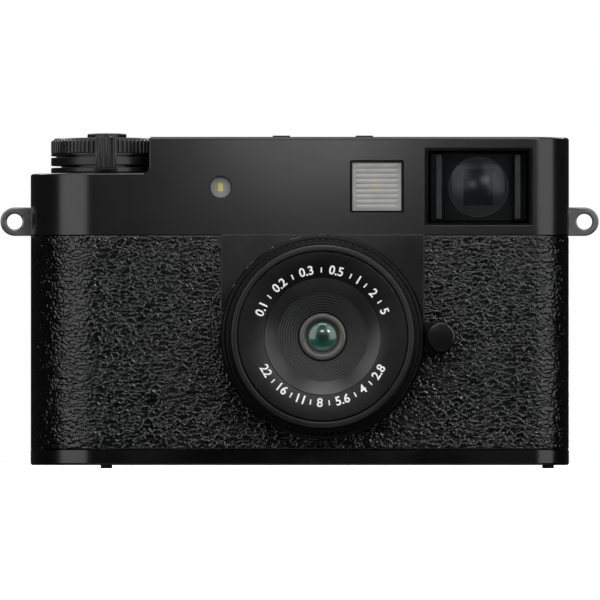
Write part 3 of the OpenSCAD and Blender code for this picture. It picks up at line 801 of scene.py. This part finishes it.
def ribbed_ring(name, node, place, inner, root, tip, heights, ribs, material, lip=None):
    """A ring with rounded grip ribs; heights are bottom, rib start, rib end and top."""
    bottom, start, end, top = heights
    swell = (0.0, 0.55, 0.95, 1.0, 1.0, 0.95, 0.55, 0.0)
    count = ribs * len(swell)
    lip = lip or root
    vertices = []
    for s in range(count):
        radius = root + (tip - root) * swell[s % len(swell)]
        profile = ((inner, bottom), (lip - 0.1, bottom), (lip, bottom + 0.1), (lip, start - 0.02),
                   (root, start), (radius, start + 0.12), (radius, end - 0.25),
                   (min(radius, root + 0.1), end), (root - 0.15, end + 0.05),
                   (root - 0.3, top - 0.1), (root - 0.45, top), (inner, top))
        vertices += [place(r, TURN * s / count, h) for r, h in profile]
    add_mesh(name, vertices, turned_faces(len(profile), count), material, node, 32)


def knob_body():
    """The round knob on the aperture ring's lever arm."""
    low, high = box_mm("aperture_knob")
    base, tip = -high.y, -low.y
    radius = (high.x - low.x) / 2
    lathe("aperture_knob_body", [
        (0, base), (2.4, base), (2.4, base + 0.5, 0.1), (radius, base + 0.7, 0.1),
        (radius, tip, 0.3), (0, tip)],
        knob_place, KNOB_METAL, "aperture_knob", 96)


lens_pieces()
ribbed_ring("focus_ring_grip", "focus_ring", lens_place, TUBE_R + 0.07, 18.65, 19.0,
            (14.4, 14.9, 18.2, 18.7), 90, RING_METAL)
knob_body()


# -------- controls

def control_pieces():
    """The button, the sleeve and the ribbed dial of the control stack."""
    button_low, button_top = (corner.z for corner in box_mm("shutter_button"))
    dial_top = box_mm("exposure_dial")[1].z
    sleeve_top = box_mm("control_sleeve")[1].z
    lathe("shutter_button_cap", [
        (0, button_low), (3.85, button_low), (3.85, button_top - 0.1, 0.35),
        (3.3, button_top, 0.3), (2.6, button_top - 0.06, 0.4), (1.3, button_top - 0.22, 0.5),
        (0, button_top - 0.26)],
        stack_place, CONTROL, "shutter_button", 128, 50)
    lathe("control_sleeve_tube", [
        (0, 51.3), (4.9, 51.3), (4.9, 55.3), (7.0, 55.3), (7.0, 56.5), (4.9, 56.5),
        (4.9, sleeve_top, 0.15), (3.92, sleeve_top, 0.2), (3.92, 52.2), (0, 52.2)],
        stack_place, CONTROL, "control_sleeve", 128)
    ribbed_ring("exposure_dial_grip", "exposure_dial", stack_place, 4.97, 10.65, 11.0,
                (61.45, 61.85, dial_top - 0.4, dial_top), 74, CONTROL, lip=11.0)


control_pieces()


# -------- numbers and marks

def glyph(text, size):
    """Flat mesh data of a short text: points (x, y) in millimetres and faces."""
    curve = bpy.data.curves.new("glyph", "FONT")
    curve.body = text
    curve.size = size
    curve.align_x, curve.align_y = "CENTER", "CENTER"
    curve.resolution_u = 6
    curve.offset = 0.02 * size
    holder = new_object("glyph", curve)
    graph = bpy.context.evaluated_depsgraph_get()
    graph.update()
    flat = bpy.data.meshes.new_from_object(holder.evaluated_get(graph))
    points = [(v.co.x, v.co.y) for v in flat.vertices]
    faces = [tuple(f.vertices) for f in flat.polygons]
    bpy.data.objects.remove(holder)
    bpy.data.curves.remove(curve)
    bpy.data.meshes.remove(flat)
    return points, faces


def bar(width, height):
    """Outline of a tick mark, in the same form as glyph()."""
    w, h = width / 2, height / 2
    return [(-w, -h), (w, -h), (w, h), (-w, h)], [(0, 1, 2, 3)]


class Marks:
    """Collects thin raised marks that a place function lays on a surface."""

    def __init__(self):
        self.vertices, self.faces = [], []

    def add(self, shape, put, thickness=0.04):
        """put(x, y, lift) gives the point on the surface for a flat point and a height."""
        points, faces = shape
        start, count = len(self.vertices), len(points)
        for lift in (thickness, -0.02):
            self.vertices += [put(x, y, lift) for x, y in points]
        for face in faces:
            self.faces.append(tuple(start + v for v in face))
            self.faces.append(tuple(start + count + v for v in reversed(face)))
        self.faces += [(start + b, start + a, start + count + a, start + count + b)
                       for a, b in open_edges(faces)]

    def build(self, name, node):
        add_mesh(name, self.vertices, self.faces, INK, node, 30, stands_for_node=False)


def laid(radius, angle, turn, x, y):
    """A mark's point, moved out to a radius and angle about an axis, with the mark turned."""
    return (radius * math.cos(angle) + x * math.cos(turn) - y * math.sin(turn),
            radius * math.sin(angle) + x * math.sin(turn) + y * math.cos(turn))


def on_name_ring(radius, angle, upright):
    """Places a flat mark on the dished ring; upright is +1 above the lens and -1 below."""
    def put(x, y, lift):
        u, v = laid(radius, angle, angle - upright * math.pi / 2, x, y)
        return (LENS.x + u, -dish(math.hypot(u, v)) - lift, LENS.z + v)
    return put


def on_dial(radius, angle):
    """Places a flat mark on the dial's top."""
    top = box_mm("exposure_dial")[1].z

    def put(x, y, lift):
        u, v = laid(radius, angle, angle - math.pi / 2, x, y)
        return (STACK.x + u, STACK.y + v, top + lift)
    return put


def on_rim(angle, middle, rim):
    """Places a mark on a rim of the lens, at a distance forward and with the rim's radius."""
    def put(x, y, lift):
        a = angle - x / rim
        return (LENS.x + (rim + lift) * math.cos(a), y - middle,
                LENS.z + (rim + lift) * math.sin(a))
    return put


def spread_marks(marks, texts, size, radius, start, end, upright):
    """Texts and small ticks laid along an arc with equal gaps; angles are in degrees."""
    shapes = []
    for i, text in enumerate(texts):
        shapes += [bar(0.26, 1.0), glyph(text, size)] if i else [glyph(text, size)]
    widths = [max(p[0] for p in points) - min(p[0] for p in points) for points, _ in shapes]
    arc = math.radians(abs(end - start)) * radius
    gap = (arc - sum(widths)) / (len(shapes) - 1)
    turn = 1 if end > start else -1
    travelled = 0.0
    for shape, width in zip(shapes, widths):
        angle = math.radians(start) + turn * (travelled + width / 2) / radius
        marks.add(shape, on_name_ring(radius, angle, upright))
        travelled += width + gap


def name_ring_marks():
    """A generic distance scale above the glass and an opening scale below it."""
    marks = Marks()
    spread_marks(marks, ["0.1", "0.2", "0.3", "0.5", "1", "2", "5"], 2.4, 12.95, 161, 20, 1)
    spread_marks(marks, ["22", "16", "11", "8", "5.6", "4", "2.8"], 2.4, 12.95, 206, 334, -1)
    marks.build("name_ring_marks", "name_ring")


def dial_marks():
    """Numbers from minus three to plus three and their third-step ticks, on the dial's top."""
    marks = Marks()
    for step in range(-9, 10):
        angle = math.radians(90 - step * 13)
        major = step % 3 == 0
        marks.add(bar(0.16, 1.0 if major else 0.6), on_dial(9.5, angle), 0.03)
        if major:
            marks.add(glyph(str(abs(step // 3)), 1.9), on_dial(7.9, angle), 0.03)
    marks.build("exposure_dial_marks", "exposure_dial")


def ring_marks():
    """Opening numbers on the aperture ring's rim and the index line on the flange."""
    marks, index = Marks(), Marks()
    low, high = box_mm("aperture_ring")
    for i, text in enumerate(["A", "2.8", "4", "5.6", "8", "11"]):
        marks.add(glyph(text, 1.9), on_rim(math.radians(90 + 15 * i), 11.9, (high.z - low.z) / 2),
                  0.03)
    index.add(bar(0.35, 1.5), on_rim(math.radians(90), 8.1, 19.0), 0.03)
    marks.build("aperture_ring_marks", "aperture_ring")
    index.build("aperture_index", "lens_flange")


name_ring_marks()
dial_marks()
ring_marks()


# -------- windows

def flash_window():
    """The flash window, a flat rim round a panel of rounded horizontal ribs 1 mm apart, and the
    light bar behind it."""
    low, high = box_mm("flash_lens")
    rise = 0.22
    back, face = high.y, low.y + rise
    half_w, half_h, rib_w, ribs = (high.x - low.x) / 2, (high.z - low.z) / 2, 4.05, 9
    samples = 12
    rows = [(-half_h, 0.0)]
    rows += [(i / samples - ribs / 2,
              rise * abs(math.sin(math.pi * (i % samples) / samples)) ** 0.7)
             for i in range(ribs * samples + 1)]
    rows.append((half_h, 0.0))
    columns = ((-half_w, 0), (-rib_w - 0.08, 0), (-rib_w, 1), (rib_w, 1), (rib_w + 0.08, 0),
               (half_w, 0))
    points = [(FLASH.x + x, face - out * on, FLASH.z + z) for z, out in rows for x, on in columns]
    points += [(FLASH.x + x, back, FLASH.z + z) for z, out in rows for x, on in columns]
    width, total = len(columns), len(rows) * len(columns)
    front = []
    for r in range(len(rows) - 1):
        for c in range(width - 1):
            a = r * width + c
            front.append((a, a + 1, a + width + 1, a + width))
    faces = front + [tuple(v + total for v in reversed(face)) for face in front]
    faces += [(b, a, a + total, b + total) for a, b in open_edges(front)]
    add_mesh("flash_ribbed_window", points, faces, FLASH_GLASS, "flash_lens", 50)
    light_bar = block((FLASH.x - 0.9, FLASH.x + 0.9), (back + 0.02, back + 0.1),
                      (FLASH.z - 1.4, FLASH.z + 1.4))
    loose_piece(light_bar, "flash_light_bar", LED, "flash_led")


def finder_details():
    """Light bars beside the opening, the stop with a dark square behind the objective, a grey ring
    painted as a highlight round the objective's edge, and black strips painted as the shade inside
    the finder.
    """
    mask_face = box_mm("finder_mask")[0].y
    objective_back = box_mm("finder_objective")[1].y
    stop = forward_post(FINDER.x, FINDER.z, [(5.83, objective_back - 0.04),
                                             (5.83, objective_back + 0.4)], 96)
    combine(stop, block((FINDER.x - 2.9, FINDER.x + 2.9), (-6, 10),
                        (FINDER.z - 3.6, FINDER.z + 3.6)))
    loose_piece(stop, "finder_field_stop", BARS, "finder_mask")
    # Painted highlight: a grey ring at the edge of the mask's opening stands for the bright line of
    # light round the objective.
    ring = forward_post(FINDER.x, FINDER.z, [(5.88, mask_face - 0.06), (5.88, mask_face + 0.1)], 96)
    combine(ring, forward_post(FINDER.x, FINDER.z, [(5.74, -9), (5.74, 9)], 96))
    loose_piece(ring, "finder_objective_highlight_ring", BARS, "finder_mask")
    # Painted shade: the black strips stand for the dark inside the finder beside and between the
    # bars.
    for name, middle, half, green_and_edge_highlight, low, high, material in (
            ("painted_shade_left", -8.75, 0.54, (-0.03, 1), 6.55, 6.45, WINDOW),
            ("painted_shade_right", 8.75, 0.54, (-0.03, 1), 6.55, 6.45, WINDOW),
            ("painted_shade_inner_left", -6.85, 0.26, (-0.03, 1), 6.55, 6.45, WINDOW),
            ("painted_shade_inner_right", 6.85, 0.26, (-0.03, 1), 6.55, 6.45, WINDOW),
            ("bar_left", -7.7, 0.5, (-0.04, 0), 6.2, 6.2, BARS),
            ("bar_right", 7.7, 0.5, (-0.04, 0), 6.2, 6.2, BARS)):
        strip = block((FINDER.x + middle - half, FINDER.x + middle + half),
                      (mask_face + green_and_edge_highlight[0], mask_face + green_and_edge_highlight[1]),
                      (FINDER.z - low, FINDER.z + high))
        loose_piece(strip, "finder_" + name, material, "finder_mask")


def lamp_details():
    """A dull dish round the lamp's light bar."""
    back = box_mm("af_lamp_lens")[1].y
    lamp_dish = forward_post(LAMP.x, LAMP.z, [(1.98, back + 0.05), (1.98, back + 0.35)])
    loose_piece(lamp_dish, "af_lamp_dish", LAMP_DISH, "af_lamp_led")
    light_bar = block((LAMP.x - 0.45, LAMP.x + 0.45), (back + 0.01, back + 0.1),
                      (LAMP.z - 0.8, LAMP.z + 0.8))
    loose_piece(light_bar, "af_lamp_light_bar", LED, "af_lamp_led")


def recessed_frame(node, window):
    """A window frame whose front lies just inside the cover's bevel."""
    low, high = box_mm(node)
    glass_low, glass_high = box_mm(window)
    outline = loft("frame", [rounded_frame((low.x, high.x), (low.z, high.z), y)
                             for y in (glass_low.y, high.y)])
    combine(outline, block((glass_low.x - 0.02, glass_high.x + 0.02), (-20, 20),
                           (glass_low.z - 0.02, glass_high.z + 0.02)))
    finished(outline, node)


recessed_frame("finder_bezel", "finder_window")
recessed_frame("flash_bezel", "flash_lens")
flash_window()
finder_details()
lamp_details()


# -------- rear details

def rear_details():
    """Picture area of both displays and the play mark on its button."""
    for node, name, inset in (("main_display_glass", "main_picture_area", (1.1, 1.6)),
                              ("side_display_glass", "side_picture_area", (0.9, 1.4))):
        low, high = box_mm(node)
        area = block((low.x + inset[0], high.x - inset[0]), (high.y - 0.02, high.y + 0.012),
                     (low.z + inset[1], high.z - inset[1]))
        loose_piece(area, name, PICTURE, node)
    middle, face = centre_mm("playback_button"), box_mm("playback_button")[1].y
    corners = ((0.75, 0.0), (-0.55, 0.75), (-0.55, -0.75))
    mark = loft("play", [[(middle.x - x, y, middle.z + z) for x, z in corners]
                         for y in (face - 0.02, face + 0.03)])
    loose_piece(mark, "playback_mark", INK, "playback_button")


rear_details()


# -------- floor, light and camera

def pale_floor(size):
    """Plain white paper that the camera sees from above and that sheds no light on the object."""
    mesh = bpy.data.meshes.new("floor")
    half = size / 2
    mesh.from_pydata([(-half, -half, 0), (half, -half, 0), (half, half, 0), (-half, half, 0)], [],
                     [(0, 1, 2, 3)])
    plane = new_object("floor", mesh)
    material, nodes, links = new_material("floor_paper")
    output = nodes.new("ShaderNodeOutputMaterial")
    shader = nodes.new("ShaderNodeBsdfPrincipled")
    set_inputs(shader, {"Base Color": (0.9, 0.9, 0.9, 1), "Roughness": 0.9,
                        "Specular IOR Level": 0.0, "Emission Color": (1, 1, 1, 1),
                        "Emission Strength": 0.95})
    under, side = nodes.new("ShaderNodeBsdfTransparent"), nodes.new("ShaderNodeNewGeometry")
    blend = blended(nodes, links, shader.outputs["BSDF"], under.outputs["BSDF"], output)
    links.new(side.outputs["Backfacing"], blend.inputs["Fac"])
    mesh.materials.append(material)
    plane.visible_diffuse = plane.visible_glossy = False


def aimed(item, place, target):
    """Puts a light or camera at a place, pointed at a target."""
    item.location = place
    item.rotation_euler = (target - place).to_track_quat("-Z", "Y").to_euler()


def area_light(name, place, target, size, power):
    light = bpy.data.lights.new(name, "AREA")
    light.shape = "RECTANGLE"
    light.size, light.size_y = size
    light.energy = power
    aimed(new_object(name, light), Vector(place), Vector(target))


def around(azimuth, distance, height):
    """A place at an azimuth in degrees from straight in front, positive to the right."""
    a = math.radians(azimuth)
    return (distance * math.sin(a), -distance * math.cos(a), height)


def studio():
    """White surroundings that only the camera sees, soft lights and the floor."""
    world = bpy.data.worlds.new("studio")
    bpy.context.scene.world = world
    world.use_nodes = True
    nodes, links = world.node_tree.nodes, world.node_tree.links
    nodes.clear()
    output = nodes.new("ShaderNodeOutputWorld")
    seen, dim = nodes.new("ShaderNodeBackground"), nodes.new("ShaderNodeBackground")
    path = nodes.new("ShaderNodeLightPath")
    set_inputs(seen, {"Color": (1, 1, 1, 1)})
    set_inputs(dim, {"Color": (0.95, 0.97, 1, 1), "Strength": 0.03})
    blend = blended(nodes, links, dim.outputs["Background"], seen.outputs["Background"], output)
    links.new(path.outputs["Is Camera Ray"], blend.inputs["Fac"])
    target = (0, 0, 0.035)
    area_light("left_softbox", around(-42, 0.8, 0.3), target, (0.8, 0.8), 4.0)
    area_light("right_softbox", around(42, 0.8, 0.3), target, (0.8, 0.8), 4.0)
    area_light("near_key", (0.003, -0.2, 0.076), (0.003, 0, 0.055), (0.03, 0.015), 0.017)
    area_light("sparkle", (0.12, -0.4, 0.14), target, (0.025, 0.025), 0.12)
    area_light("top_front_softbox", (0.0, -0.35, 0.6), target, (0.35, 0.3), 1.6)
    area_light("top_softbox", (0.0, 0.1, 0.7), target, (0.8, 0.4), 2.0)
    area_light("rear_left_softbox", (-0.4, 0.55, 0.62), target, (0.45, 0.35), 3.0)
    area_light("rear_right_softbox", (0.4, 0.55, 0.62), target, (0.45, 0.35), 3.0)
    area_light("low_softbox", (0.0, 0.0, -0.7), target, (0.9, 0.6), 0.4)
    area_light("low_front_softbox", (0.0, -0.55, -0.5), target, (0.7, 0.35), 0.4)
    pale_floor(6.0)
    bpy.context.scene.view_settings.view_transform = "Standard"


def long_lens_camera():
    """Almost parallel view from straight in front, from just above the floor."""
    aim = Vector((0.0001, 0, 0.03307))
    place = Vector((0, -2.5, 0.003))
    view_width, sensor = 0.11777, 36.0
    data = bpy.data.cameras.new("camera")
    data.sensor_width = sensor
    data.lens = sensor * (place - aim).length / view_width
    data.clip_start, data.clip_end = 0.01, 50
    camera = new_object("camera", data)
    aimed(camera, place, aim)
    bpy.context.scene.camera = camera


studio()
long_lens_camera()
